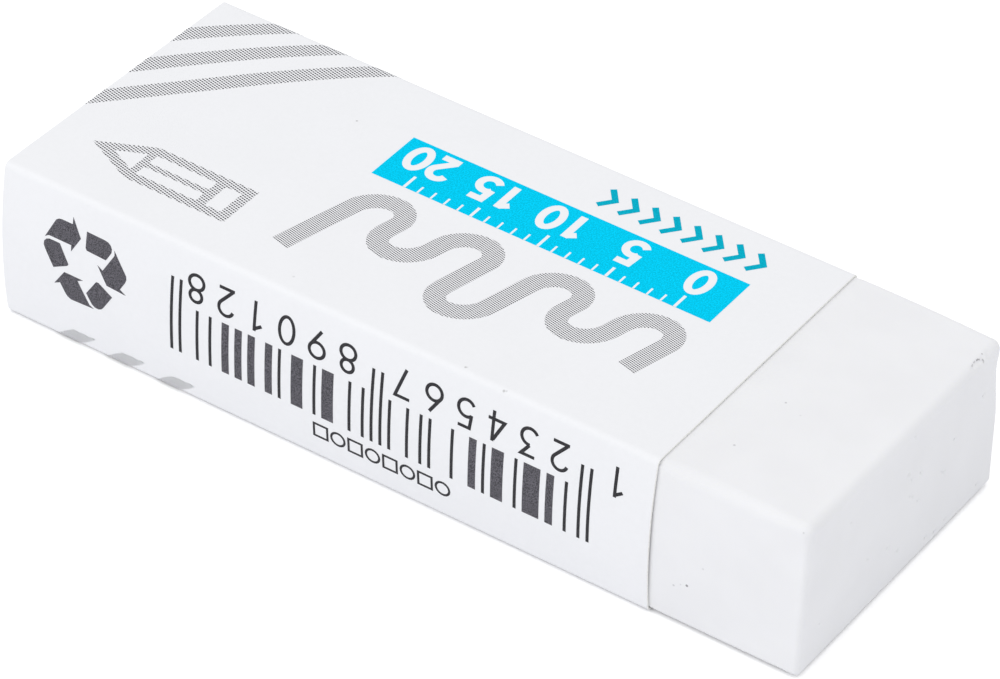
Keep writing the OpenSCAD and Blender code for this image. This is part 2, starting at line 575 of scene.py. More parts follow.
@dataclass
class RubberBlock:
    """The block of rubber: a long box with softly rounded edges, a little uneven from its mould.

    Its bare end has swollen a little on top and at the sides, where no card holds it in.
    """

    lower: Vector
    upper: Vector
    sleeve: "Sleeve"
    plain_edge_radius: float = 0.9
    held_edge_radius: float = 0.5
    edge_growth: float = 2.5
    glued_edge_radius: float = 0.3
    end_edge_radius: float = 0.6
    upright_edge_radius: float = 0.4
    bottom_edge_radius: float = 0.4
    corner_power: int = 12
    unevenness: float = 0.02
    held_swelling: float = 0.048
    free_swelling: tuple[float, float, float] = (0.08, 0.10, 0.08)
    swelling_rise: float = 0.45
    belly: float = 0.40
    belly_start: float = 2.0
    belly_rise: float = 2.68
    belly_reach: float = 9.0
    flare: float = 0.40
    flare_reach: float = 10.0
    corner_wear: float = 0.8
    bare_length: float = 11.0
    across_pitch: float = 0.12
    along_pitch: float = 0.3
    covered_pitch: float = 2.4
    edge_steps: int = 7

    def pits(self) -> list[Pit]:
        """Pin-holes and nicks on the end face, and a bruise on its upper edge.

        Returns:
            The pits: those on the face by width and height, and those of the bruise by depth and width.
        """
        end, top = self.upper.x, self.upper.z
        places = [
            (0.34, 8.10, 0.20, 0.20), (0.78, 7.43, 0.14, 0.09), (1.91, 7.22, 0.20, 0.15),
            (0.77, 6.13, 0.16, 0.09), (1.15, 5.85, 0.16, 0.12), (1.87, 5.05, 0.18, 0.12),
            (4.93, 5.24, 0.20, 0.16), (4.60, 5.52, 0.14, 0.08), (-3.84, 4.41, 0.15, 0.12),
            (-1.40, 3.59, 0.18, 0.14), (-0.10, 2.44, 0.20, 0.18), (-9.09, 2.99, 0.15, 0.10),
            (5.87, 7.23, 0.22, 0.09), (9.10, 8.47, 0.20, 0.12), (0.60, 10.90, 0.16, 0.06),
            (-6.40, 9.00, 0.15, 0.06), (3.39, 1.05, 0.20, 0.15), (4.55, 0.75, 0.20, 0.16),
            (5.71, 0.97, 0.16, 0.09), (9.54, 1.16, 0.20, 0.10),
        ]
        dents = [Pit((end, across, height), radius, depth) for across, height, radius, depth in places]
        bruise = [
            (0.25, 7.60, 0.20, 0.10), (0.30, 7.94, 0.20, 0.12), (0.28, 8.34, 0.24, 0.16),
            (0.16, 8.65, 0.20, 0.12), (0.35, 8.86, 0.18, 0.10), (0.20, 9.40, 0.35, 0.08),
        ]
        dents += [Pit((end - back, across, top - 0.1), radius, depth) for back, across, radius, depth in bruise]
        return dents

    def holes(self) -> tuple[Spot, ...]:
        """Dark spots on the rubber, with painted shade in the pin-holes and nicks.

        Returns:
            Single dark spots on the side, on top and along the bruise, and a spot of painted shade in each pit of the
            end face, darker the deeper the pit.
        """
        single = [
            (21.66, -11.53, 3.64, 0.13, 0.90), (20.76, -11.54, 3.22, 0.11, 0.35), (21.23, -11.54, 3.52, 0.09, 0.20),
            (22.67, -11.52, 5.46, 0.10, 0.20), (22.06, -2.10, 11.67, 0.11, 0.35), (21.71, -7.28, 11.67, 0.12, 0.35),
            (23.39, -2.60, 11.67, 0.10, 0.12), (28.97, -11.22, 11.28, 0.09, 0.25), (29.16, 7.70, 11.58, 0.09, 0.40),
            (29.13, 7.81, 11.60, 0.09, 0.35), (29.10, 8.02, 11.61, 0.09, 0.40), (29.09, 8.13, 11.62, 0.09, 0.35),
            (29.10, 8.35, 11.57, 0.09, 0.65), (29.12, 8.46, 11.57, 0.09, 0.70), (29.18, 8.55, 11.54, 0.09, 0.50),
            (29.28, 8.78, 11.43, 0.09, 0.45), (29.35, 8.76, 11.38, 0.09, 0.40), (29.40, 8.69, 11.33, 0.09, 0.30),
            (29.08, 9.02, 11.63, 0.09, 0.45),
        ]
        # painted shade: a dark spot at the bottom of each pit of the end face, its darkness three times the pit's
        # depth
        pit_shade_spots = [
            Spot((self.upper.x - pit.depth, *pit.middle[1:]), 0.6 * pit.radius, 3.0 * pit.depth)
            for pit in self.pits()
            if pit.middle[0] == self.upper.x
        ]
        return (*(Spot((x, y, z), radius, darkness) for x, y, z, radius, darkness in single), *pit_shade_spots)

    def edge_radius(self, share: Array) -> Array:
        """The rounding of the edge nearest to a point, blended from edge to edge round a corner.

        An edge weighs as much as the product of the nearnesses to its two faces, each a high power
        of the share, so the radius is that edge's own along the edge and the mean of three at a
        corner. In the middle of a face nothing weighs, and the end edge's small share fills in. The
        plain upper edge is pressed to the fold's radius in the sleeve and grows to its own past it,
        and the far upright edge of the bare end is worn rounder towards its top.

        Args:
            share: From -1 to 1 along each axis, how far out on the flat faces a point is.

        Returns:
            The radius at each point.
        """
        x, y, z = np.moveaxis(np.abs(share) ** self.corner_power, -1, 0)
        up = share[..., 2] > 0
        past = self.lower.x + (share[..., 0] + 1) / 2 * (self.upper.x - self.lower.x) - self.sleeve.upper.x
        grown = smooth(past / self.edge_growth)
        plain = self.held_edge_radius + (self.plain_edge_radius - self.held_edge_radius) * grown
        upper = np.where(share[..., 1] > 0, self.glued_edge_radius, plain)
        along = np.where(up, upper, self.bottom_edge_radius)
        across = np.where(up, self.end_edge_radius, self.bottom_edge_radius)
        worn = (share[..., 0] > 0) & (share[..., 1] > 0)
        upright = self.upright_edge_radius + np.where(worn, self.corner_wear * np.maximum(share[..., 2], 0), 0)
        weights = np.stack([y * z, x * z, x * y, np.full_like(x, 1e-4)])
        radii = np.stack([along, across, upright, np.full_like(x, self.end_edge_radius)])
        return (weights * radii).sum(axis=0) / weights.sum(axis=0)

    def rounded(self, share: Array, turn: Array) -> Array:
        """Points of the rounded box.

        A point is the corner of a smaller box, drawn in by the local radius and scaled by its
        share along each axis, plus that radius along the direction in which the surface faces.

        Args:
            share: From -1 to 1 along each axis, how far out on the flat faces a point is.
            turn: The direction in which the surface faces there, of any length.

        Returns:
            The points in millimetres, in the part's frame.
        """
        facing = turn / np.linalg.norm(turn, axis=-1, keepdims=True)
        radius = self.edge_radius(share)[..., None]
        middle = (np.array(self.upper) + np.array(self.lower)) / 2
        half = (np.array(self.upper) - np.array(self.lower)) / 2
        return self.sleeve.drawn_in(self.swollen(middle + share * (half - radius) + facing * radius, share))

    def swollen(self, points: Array, share: Array) -> Array:
        """Stretches the bare end sideways and upwards.

        The stretch rises smoothly over a short length, first as far as the sleeve's clearance allows
        and past the sleeve's end to its full size. The plain side also has a belly at mid height that
        rises more slowly, so that it stands off the sleeve's mouth, and dies out towards the end. The
        glued side flares at its foot towards the end.

        Args:
            points: The points of the box.
            share: From -1 to 1 along each axis, how far out on the flat faces a point is.

        Returns:
            The stretched points.
        """
        past, height = points[..., 0] - self.sleeve.upper.x, share[..., 2]
        held, free = smooth(past + 1), smooth(past / self.swelling_rise)
        plain, glued, top = (self.held_swelling * (held - free) + full * free for full in self.free_swelling)
        risen = smooth((past + self.belly_start) / self.belly_rise)
        belly = self.belly * (1 - height**2) * risen * smooth(1 - past / self.belly_reach)
        flare = self.flare * (1 - height) / 2 * np.clip(past / self.flare_reach, 0, 1)
        across = np.where(share[..., 1] > 0, glued + flare, plain + belly) * share[..., 1]
        return points + np.stack([0 * past, across, top * (height + 1) / 2], axis=-1)

    def uneven(self, points: Array, facing: Array) -> Array:
        """Sinks the surface by slow waves and by the pits, inwards only.

        The waves are products of sines along the three axes. A pit is a bell curve of the distance
        from its middle.

        Args:
            points: The surface's points.
            facing: The directions in which it faces.

        Returns:
            The sunken points.
        """
        x, y, z = points[..., 0], points[..., 1], points[..., 2]
        wave = np.sin(0.55 * x + 0.3 * y) * np.sin(0.47 * y - 0.8 * z) + np.sin(0.9 * z + 0.21 * x)
        sunk = self.unevenness * (wave + 2) / 4
        for pit in self.pits():
            distance = np.linalg.norm(points - np.array(pit.middle), axis=-1)
            sunk = sunk + pit.depth * np.exp(-((distance / pit.radius) ** 2) * 2)
        return points - facing * sunk[..., None]

    def stations(self, axis: int) -> tuple[Array, Array]:
        """Where the grid lines cross one axis, as shares of the flat face and as turns round its edges.

        Args:
            axis: 0, 1 or 2 for X, Y or Z.

        Returns:
            The shares from -1 to 1, and the turns from -1 at the lower edge to 1 at the upper one.
        """
        length = self.upper[axis] - self.lower[axis]
        flat = steps(-1, 1, 2 * self.across_pitch / length)
        if axis == 0:
            bare = 1 - 2 * self.bare_length / length
            covered = steps(-1, bare, 2 * self.covered_pitch / length)
            flat = np.concatenate([covered[:-1], steps(bare, 1, 2 * self.along_pitch / length)])
        bend = np.tan(np.linspace(0, math.pi / 4, self.edge_steps + 1))[1:]
        share = np.concatenate([np.full(len(bend), -1.0), flat, np.full(len(bend), 1.0)])
        turn = np.concatenate([-bend[::-1], np.zeros(len(flat)), bend])
        return share, turn

    def face(self, axis: int, side: int) -> Skin:
        """One of the box's six faces, with its half of the roundings.

        Args:
            axis: The axis that the face looks along.
            side: -1 or 1 for the way in which it looks.

        Returns:
            The face's surface, which looks outwards.
        """
        first, second = [(1, 2), (2, 0), (0, 1)][axis]
        share_a, turn_a = self.stations(first)
        share_b, turn_b = self.stations(second)
        share = np.zeros((len(share_a), len(share_b), 3))
        turn = np.zeros_like(share)
        share[..., first], share[..., second], share[..., axis] = share_a[:, None], share_b[None, :], side
        turn[..., first], turn[..., second], turn[..., axis] = turn_a[:, None], turn_b[None, :], side
        facing = turn / np.linalg.norm(turn, axis=-1, keepdims=True)
        points = self.uneven(self.rounded(share, turn), facing)
        return Skin.grid(points[::-1] if side > 0 else points)

    def build(self) -> bpy.types.Object:
        """Makes the block and dresses it.

        Returns:
            The piece that stands for the CAD block.
        """
        faces = [self.face(axis, side) for axis in range(3) for side in (-1, 1)]
        piece = Skin.joined(faces).build("rubber_body", [WhiteRubber(holes=self.holes()).material()])
        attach(piece, "block")
        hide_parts("rubber_block")
        log.info("rubber_body: %d faces", len(piece.data.polygons))
        return piece


# ---- The folded card ----


@dataclass(frozen=True)
class Bend:
    """One bend of the folded card, seen along X: an arc between two angles in degrees."""

    middle: tuple[float, float]
    radius: float
    first: float
    last: float

    def angles(self) -> Array:
        """Angles along the bend in radians, half a degree apart or less."""
        return np.radians(steps(self.first, self.last, 0.5))


class Panel(Enum):
    """The printed panels of the sleeve."""

    TOP = "top"
    FRONT = "front"
    UNDERSIDE = "underside"


@dataclass
class Sleeve:
    """The folded and glued card: one strip round the block, from the hidden flap to the lap over it.

    A place on the card is a length round the strip from the flap's free edge, a length along X,
    and a depth under its outer face. The outer face lies a hair inside the construction's, so that
    ink has room on it.
    """

    lower: Vector
    upper: Vector
    card_thickness: float = 0.15
    glue_line: float = 0.05
    fold_radius: float = 0.50
    side_bow: float = 0.40
    flap_edge_height: float = 3.5
    lap_edge_gap: float = 0.8
    ink_room: float = 0.014
    cut_round: float = 0.03
    far_skew: float = 0.56
    skew_reach: float = 3.0
    fold_pitch: float = 0.07
    bow_pitch: float = 0.6
    flat_pitch: float = 1.5
    flat_margin: float = 0.08
    bends: list[Bend] = field(init=False)
    lengths: Array = field(init=False)
    outline: Array = field(init=False)
    facing: Array = field(init=False)

    def __post_init__(self) -> None:
        """Works out the bends from the outside sizes, and the outer face as a finely stepped line."""
        lap_offset = self.card_thickness + self.glue_line
        height = self.upper.z - self.lower.z
        width = self.upper.y - self.lower.y - 2 * self.side_bow - lap_offset
        shift = -lap_offset / 2
        fold, half_height = self.fold_radius, height / 2
        rise = half_height - fold
        bow = fold + (rise**2 + self.side_bow**2) / (2 * self.side_bow)
        bow_middle = width / 2 + self.side_bow - bow
        bow_angle = math.degrees(math.asin(rise / (bow - fold)))
        lap = bow + lap_offset
        lap_angle = math.degrees(math.asin(rise / (lap - fold)))
        lap_fold = bow_middle + (lap - fold) * math.cos(math.radians(lap_angle))
        lap_edge = math.degrees(math.asin((rise - self.lap_edge_gap) / lap))
        flap_edge = math.degrees(math.asin((self.flap_edge_height - half_height) / bow))
        side, top = width / 2 - fold, height - fold
        self.bends = [
            Bend((bow_middle + shift, half_height), bow, flap_edge, bow_angle),
            Bend((side + shift, top), fold, bow_angle, 90),
            Bend((-side + shift, top), fold, 90, 180 - bow_angle),
            Bend((-bow_middle + shift, half_height), bow, 180 - bow_angle, 180 + bow_angle),
            Bend((-side + shift, fold), fold, 180 + bow_angle, 270),
            Bend((lap_fold + shift, fold), fold, 270, 360 - lap_angle),
            Bend((bow_middle + shift, half_height), lap, 360 - lap_angle, 360 + lap_edge),
        ]
        facings = [np.stack([np.cos(bend.angles()), np.sin(bend.angles())], axis=-1) for bend in self.bends]
        arcs = [np.array(bend.middle) + bend.radius * facing for bend, facing in zip(self.bends, facings)]
        self.outline, self.facing = np.concatenate(arcs), np.concatenate(facings)
        pieces = np.linalg.norm(np.diff(self.outline, axis=0), axis=-1)
        self.lengths = np.concatenate([[0.0], np.cumsum(pieces)])

    def bend_place(self, number: int, last: bool) -> float:
        """The length round the strip at which the bend of that number starts, or ends if last is true."""
        counts = np.cumsum([0] + [len(bend.angles()) for bend in self.bends])
        return float(self.lengths[counts[number + 1] - 1 if last else counts[number]])

    def bent(self, along: Array, around: Array, depth: Array | float) -> Array:
        """Folds the flat card: finds the outer face's point and facing, and goes in by the depth.

        Args:
            along: Places along X.
            around: Lengths round the strip.
            depth: Depths under the construction's outer face.

        Returns:
            The points, with a last axis of 3.
        """
        y, z = (np.interp(around, self.lengths, self.outline[:, axis]) for axis in (0, 1))
        face_y, face_z = (np.interp(around, self.lengths, self.facing[:, axis]) for axis in (0, 1))
        size = np.hypot(face_y, face_z)
        return np.stack([along + 0 * y, y - depth * face_y / size, z - depth * face_z / size], axis=-1)

    def far_cut(self, across: Array) -> Array:
        """X of the sleeve's far end, which is cut a little askew, at places across it."""
        share = (across - self.lower.y) / (self.upper.y - self.lower.y)
        return self.lower.x + self.far_skew * np.clip(share, 0, 1)

    def drawn_in(self, points: Array) -> Array:
        """Moves points near the far end along X, so that a square cut there becomes the skewed one.

        Args:
            points: The points in millimetres.

        Returns:
            The moved points.
        """
        near = np.clip(1 - (points[..., 0] - self.lower.x) / self.skew_reach, 0, 1)
        moved = points.copy()
        moved[..., 0] += (self.far_cut(points[..., 1]) - self.lower.x) * near
        return moved

    def around_stations(self) -> Array:
        """Lengths round the strip for the card's own mesh, close together in the folds.

        Returns:
            The lengths in rising order.
        """
        stations = []
        for number, bend in enumerate(self.bends):
            first, last = self.bend_place(number, False), self.bend_place(number, True)
            pitch = self.fold_pitch if bend.radius == self.fold_radius else self.bow_pitch
            stations.append(steps(first, last, pitch))
            flat_end = self.bend_place(number + 1, False) if number + 1 < len(self.bends) else last
            if flat_end > last + 1:
                stations.append(steps(last + self.flat_margin, flat_end - self.flat_margin, self.flat_pitch))
        return np.concatenate(stations)

    def card_loop(self) -> tuple[Array, Array, Array]:
        """The card's own outline, seen along the strip: two faces and two cut edges with worn corners.

        Returns:
            Places along X, depths, and each point's part: 0 the outer face, 1 the inner, 2 a cut edge.
        """
        outer, inner, worn = self.ink_room, self.card_thickness, self.cut_round
        near, far = self.upper.x - worn, self.lower.x + worn
        corner = np.radians(np.linspace(0, 90, 4))
        rise, fall = worn * np.sin(corner), worn * np.cos(corner)
        face = np.concatenate([[far], steps(far + 2 * worn, near - 2 * worn, 1.0), [near]])
        runs = [
            (np.stack([face, np.full_like(face, outer)])[:, :-1], 0),
            (np.stack([near + rise, outer + worn - fall]), 2),
            (np.stack([near + fall, inner - worn + rise])[:, :-1], 2),
            (np.stack([face[::-1], np.full_like(face, inner)])[:, :-1], 1),
            (np.stack([far - rise, inner - worn + fall]), 2),
            (np.stack([far - fall, outer + worn - rise])[:, :-1], 2),
        ]
        line = np.concatenate([run for run, _ in runs], axis=1)
        part = np.concatenate([np.full(run.shape[1], number) for run, number in runs])
        return line[0], line[1], part

    def build(self) -> bpy.types.Object:
        """Carries the card's outline round the strip, closes the two free edges and dresses it.

        Returns:
            The piece that stands for the CAD sleeve.
        """
        around = self.around_stations()
        along, depth, part = self.card_loop()
        points = self.drawn_in(self.bent(along[None, :], around[:, None] + 0 * along, depth[None, :]))
        wall = Skin.grid(points, closed=True)
        wall.finish = np.tile(part, len(around) - 1)
        faces = int((part == 0).sum()) + 1
        ends = []
        for row, flip in ((0, False), (-1, True)):
            outer = points[row, :faces]
            inner = points[row, np.flatnonzero(part == 1)[0] :][: faces][::-1]
            ends.append(np.stack([inner, outer] if flip else [outer, inner]))
        caps = [Skin.grid(end, finish=2) for end in ends]
        finishes = [CoatedCard(), RawCard(), RawCard("cut_card", (0.92, 0.915, 0.885), (0.83, 0.825, 0.795))]
        piece = Skin.joined([wall, *caps]).build("sleeve_card", [finish.material() for finish in finishes])
        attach(piece, "sleeve")
        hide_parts("card_sleeve")
        log.info("sleeve_card: %d faces", len(piece.data.polygons))
        return piece


# ---- The print ----


def arc(middle: Sequence[float], radii: Sequence[float], first: float, last: float, turn: float = 12) -> Array:
    """Points of an ellipse's arc.

    Args:
        middle: The ellipse's middle.
        radii: Its two radii.
        first: The angle at the start in degrees, anticlockwise from the first axis.
        last: The angle at the end.
        turn: The largest step between points in degrees.

    Returns:
        The points, one a row.
    """
    angles = np.radians(steps(first, last, turn))
    return np.stack([middle[0] + radii[0] * np.cos(angles), middle[1] + radii[1] * np.sin(angles)], axis=-1)


def path(*parts: Iterable) -> Array:
    """Joins points and rows of points into one line, without doubled points.

    Args:
        *parts: The points and the rows, in order.

    Returns:
        The line, one point a row.
    """
    line = np.concatenate([np.atleast_2d(np.array(part, float)) for part in parts])
    keep = np.concatenate([[True], np.linalg.norm(np.diff(line, axis=0), axis=-1) > 1e-6])
    return line[keep]


def stroke(line: Array, width: float) -> Array:
    """A line of ink of even width: the line, moved to either side along its mitred normals.

    A line that ends where it starts is mitred there too, and any other is cut off square.

    Args:
        line: The middle of the stroke, one point a row.
        width: The stroke's width.

    Returns:
        A grid of points, one row for each of the line's points and three to a row.
    """
    if np.allclose(line[0], line[-1]):
        around = np.concatenate([line[-2:-1], line, line[1:2]])
    else:
        around = np.concatenate([2 * line[:1] - line[1:2], line, 2 * line[-1:] - line[-2:-1]])
    runs = np.diff(around, axis=0)
    runs /= np.linalg.norm(runs, axis=-1, keepdims=True)
    normals = np.stack([-runs[:, 1], runs[:, 0]], axis=-1)
    mitre = normals[:-1] + normals[1:]
    mitre /= np.linalg.norm(mitre, axis=-1, keepdims=True)
    reach = 1 / np.maximum((mitre * normals[1:]).sum(axis=-1), 0.45)
    offset = mitre * (width / 2 * reach)[:, None]
    return np.stack([line + offset, line, line - offset], axis=1)


def ruled(first: Array, second: Array, pitch: float) -> Array:
    """A patch between two lines of as many points, stepped straight across.

    Args:
        first: One line.
        second: The other.
        pitch: The largest step across.

    Returns:
        A grid of points.
    """
    across = np.linalg.norm(first - second, axis=-1).max()
    share = steps(0, 1, pitch / across)[:, None, None]
    return first * (1 - share) + second * share


def evened(line: Array, count: int) -> Array:
    """As many points as wanted, evenly spaced along a line.

    Args:
        line: The line.
        count: How many points are wanted.

    Returns:
        The points, one a row.
    """
    lengths = np.concatenate([[0], np.cumsum(np.linalg.norm(np.diff(line, axis=0), axis=-1))])
    at = np.linspace(0, lengths[-1], count)
    return np.stack([np.interp(at, lengths, line[:, axis]) for axis in (0, 1)], axis=-1)


def box_patch(left: float, right: float, bottom: float, top: float, pitch: float = 0.5) -> Array:
    """An upright rectangle, stepped finely enough to follow a bent panel."""
    high = steps(bottom, top, pitch)
    return np.stack([np.stack([np.full_like(high, x), high], axis=-1) for x in (left, right)], axis=1)


def resampled(line: Array, pitch: float, margin: float) -> Array:
    """A line with points added along its longer runs, but not near its corners, where a mitre reaches.

    Args:
        line: The line's corners.
        pitch: The largest distance between the added points.
        margin: How far from a corner the first of them lies.

    Returns:
        The finer line.
    """
    runs = []
    for start, end in zip(line[:-1], line[1:]):
        length = float(np.linalg.norm(end - start))
        inner = steps(margin, length - margin, pitch) if length > 2 * margin + 0.1 else np.zeros(0)
        runs.append(start + np.concatenate([[0.0], inner])[:, None] * (end - start) / length)
    return np.concatenate([*runs, line[-1:]])


NUMERAL_BOX = np.array([0.62, 1.0])


def numeral(figure: str) -> list[Array]:
    """The strokes of one plain numeral, in a box of its own units.

    Args:
        figure: One of 0 to 9.

    Returns:
        Each stroke's middle line.
    """
    low, high, ring = 0.055, 0.945, (0, 360)
    leg, loop = path((0.43, 0.97), (0.088, 0.43)), arc((0.31, 0.31), (0.255, 0.255), *ring)
    strokes = {
        "0": [arc((0.31, 0.5), (0.245, 0.445), *ring)],
        "1": [path((0.36, 1.0), (0.36, 0.0)), path((0.12, 0.76), (0.36, 0.93))],
        "2": [path(arc((0.31, 0.69), (0.245, 0.255), 165, -38), (0.12, 0.09)), path((0.05, low), (0.57, low))],
        "3": [path((0.08, high), (0.52, high), (0.27, 0.60)), arc((0.28, 0.32), (0.265, 0.265), 95, -150)],
        "4": [path((0.40, 0.94), (0.07, 0.27), (0.60, 0.27)), path((0.43, 1.0), (0.43, 0.0))],
        "5": [path((0.52, high), (0.14, high), (0.10, 0.50)), arc((0.28, 0.33), (0.265, 0.275), 132, -150)],
        "6": [leg, loop],
        "7": [path((0.06, high), (0.54, high), (0.22, 0.0))],
        "8": [arc((0.31, 0.295), (0.25, 0.24), *ring), arc((0.31, 0.74), (0.205, 0.205), *ring)],
        "9": [NUMERAL_BOX - leg, NUMERAL_BOX - loop],
    }
    return strokes[figure]


def number_strokes(figures: str, middle: Sequence[float], height: float, advance: float, width: float) -> list[Array]:
    """A row of numerals that reads upside down from the front, centred on a point.

    Args:
        figures: The numerals.
        middle: The row's middle.
        height: The numerals' height.
        advance: The distance from one to the next.
        width: The strokes' width.

    Returns:
        The strokes' grids.
    """
    grids = []
    for place, figure in enumerate(figures):
        shift = np.array([(place - (len(figures) - 1) / 2) * advance, 0.0])
        for line in numeral(figure):
            upright = (line - NUMERAL_BOX / 2) * height + shift
            grids.append(stroke(resampled(np.array(middle) - upright, 0.6, 1.2 * width), width))
    return grids


@dataclass
class Print:
    """Everything that is printed on the sleeve, in panel places: X along, and Y or Z across.

    The wide panels carry the same artwork, which is turned over the front edge on the underside and
    printed a little out of register there. All of it reads from the glued side of the sleeve.
    """

    sleeve: Sleeve
    film: float = 0.010
    hair: float = 0.001
    underside_slip: float = -1.0
    stripe_count: int = 3
    stripe_spacing: float = 3.9
    stripe_width: float = 1.8
    bar_box: tuple[float, float, float, float] = (-10.65, 14.36, 1.54, 6.17)
    scribble_width: float = 1.4
    scribble_pitch: float = 3.3
    scribble_heights: tuple[float, ...] = (5.6, 5.6, 8.1, 5.6, 8.1)
    module: float = 0.3289
    bar_loss: float = 0.11
    figures: str = "1234567890128"
    materials: dict[Inks, bpy.types.Material] = field(default_factory=dict)

    def around(self, panel: Panel, across: Array) -> Array:
        """Lengths round the strip for places across a panel, which run on round its folds.

        Args:
            panel: The panel.
            across: Y on the wide panels, as on the top, and Z on the front.

        Returns:
            Lengths round the strip from the flap's free edge.
        """
        sleeve = self.sleeve
        if panel is Panel.FRONT:
            bow = sleeve.bends[3]
            middle = (sleeve.bend_place(3, False) + sleeve.bend_place(3, True)) / 2
            return middle + bow.radius * np.arcsin((bow.middle[1] - across) / bow.radius)
        fold_start = sleeve.bends[1].middle[0]
        start = sleeve.bend_place(1, True) if panel is Panel.TOP else sleeve.bend_place(4, True)
        return start + fold_start - across

    def ink(self, name: str, panel: Panel, ink: Inks, grids: Sequence[Array], level: int = 0) -> bpy.types.Object:
        """Lays flat shapes on a panel as a film of ink that follows its bends.

        Args:
            name: The piece's name.
            panel: The panel.
            ink: The ink.
            grids: The shapes, as grids of places on the panel.
            level: How many films lie under this one.

        Returns:
            The piece, which rides with the sleeve.
        """
        skins = []
        top = self.sleeve.ink_room - self.film - level * 2 * self.hair
        for number, grid in enumerate(grids):
            slip = self.underside_slip if panel is Panel.UNDERSIDE else 0.0
            along, around = grid[..., 0] + slip, self.around(panel, grid[..., 1])
            du, dv = grid[1:, 1:] - grid[:-1, 1:], grid[1:, 1:] - grid[1:, :-1]
            if (dv[..., 0] * du[..., 1] - dv[..., 1] * du[..., 0]).sum() < 0:
                along, around = along[::-1], around[::-1]
            points = self.sleeve.bent(along, around, top - number % 2 * self.hair)
            skins.append(Skin.grid(points, sheet=np.stack([along, around], axis=-1)))
        if ink not in self.materials:
            self.materials[ink] = ink.value.material()
        piece = Skin.joined(skins).build(name, [self.materials[ink]])
        solid = piece.modifiers.new("film", "SOLIDIFY")
        solid.thickness, solid.offset = self.film * MM, -1.0
        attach(piece, "sleeve")
        log.info("%s: %d faces", name, len(piece.data.polygons))
        return piece

    def stripes(self, panel: Panel) -> list[Array]:
        """Slanting stripes over the far corner, which run a little way round the fold.

        A stripe's middle is a straight line that leans by nine tenths, plus a cubic bend past its knee.

        Args:
            panel: The panel, which decides where the sleeve's end cuts the stripes off.

        Returns:
            The stripes' grids.
        """
        lean, knee, bend, foot = 0.92, 3.15, 0.0019, -27.03
        slip = self.underside_slip if panel is Panel.UNDERSIDE else 0.0
        across = steps(-4.2, 12.15, 0.08)
        cut = self.sleeve.far_cut(across) - slip + self.sleeve.cut_round
        middle = foot + lean * across + bend * np.maximum(0, across - knee) ** 3
        grids = []
        for number in range(self.stripe_count):
            left = middle - number * self.stripe_spacing - self.stripe_width / 2
            right = np.maximum(left + self.stripe_width, cut)
            left = np.maximum(left, cut)
            shown = slice(max(int(np.argmax(right > left + 1e-6)) - 1, 0), None)
            edges = [np.stack([edge, across], axis=-1)[shown] for edge in (left, right)]
            grids.append(np.stack(edges, axis=1))
        return grids

    def scribble(self) -> list[Array]:
        """A slanting pencil wave: straight strokes to and fro, joined by half circles.

        It is laid out by the distance from its right end and the height above its foot, and leans
        by a quarter of the height.

        Returns:
            The one stroke's grid.
        """
        right, foot, lean = 14.1, 0.44, 0.25
        turn = self.scribble_pitch / 2
        low = turn + self.scribble_width / 2
        first, *tops, last = self.scribble_heights
        parts: list[Any] = [(0.0, first)]
        for number, height in enumerate([*tops, last]):
            at = 2 * number * self.scribble_pitch
            parts.append(arc((at + turn, low), (turn, turn), 180, 360, 10))
            high = height - turn - self.scribble_width / 2
            top = arc((at + 3 * turn, high), (turn, turn), 180, 0, 10)
            parts.append((at + 2 * turn, last) if number == len(tops) else top)
        away, height = path(*parts).T
        line = np.stack([right - away - lean * height, foot - height], axis=-1)
        return [stroke(line, self.scribble_width)]

    def pencil(self) -> list[Array]:
        """A small outlined pencil: a barrel with a facet line, a ferrule and a sharpened point.

        Returns:
            The strokes' grids.
        """
        tail, neck, tip, low, high = -15.4, -22.6, -25.7, -7.71, -4.71
        middle = (low + high) / 2
        outline = path((neck, low), (tail, low), (tail, high), (neck, high), (tip, middle), (neck, low))
        return [
            stroke(outline, 0.75),
            box_patch(tail - 2.3, tail - 1.6, low, high),
            stroke(path((neck + 0.2, middle), (tail - 2.2, middle)), 0.5),
            stroke(path((neck, low), (neck, high)), 0.55),
        ]

    def scale_bar(self) -> list[Array]:
        """The solid field behind the scale."""
        return [box_patch(*self.bar_box, 1.0)]

    def scale_marks(self) -> list[Array]:
        """A scale in millimetres: a tick for each, longer ones at 5 and 10, and bold numerals.

        Returns:
            The grids of the ticks and the numerals.
        """
        zero, edge, longest, height, advance, weight = 11.8, self.bar_box[2], 20, 2.45, 1.8, 0.52
        grids = []
        for tick in range(longest + 1):
            length = 1.3 if tick % 10 == 0 else 1.05 if tick % 5 == 0 else 0.7
            width = 0.2 if tick % 5 == 0 else 0.14
            grids.append(box_patch(zero - tick - width / 2, zero - tick + width / 2, edge, edge + length))
        for tick in range(0, longest + 1, 5):
            grids += number_strokes(str(tick), (zero - tick, 4.5), height, advance, weight)
        return grids

    def chevrons(self) -> list[Array]:
        """A row of chevrons that points to the bare end.

        Returns:
            The chevrons' grids.
        """
        left, right, middle, half_height, depth, width, count = 2.4, 14.0, 8.25, 0.95, 0.75, 0.42, 8
        chevron = path((-depth, -half_height), (0.0, 0.0), (-depth, half_height))
        return [stroke(chevron + np.array([x, middle]), width) for x in np.linspace(left + depth, right, count)]

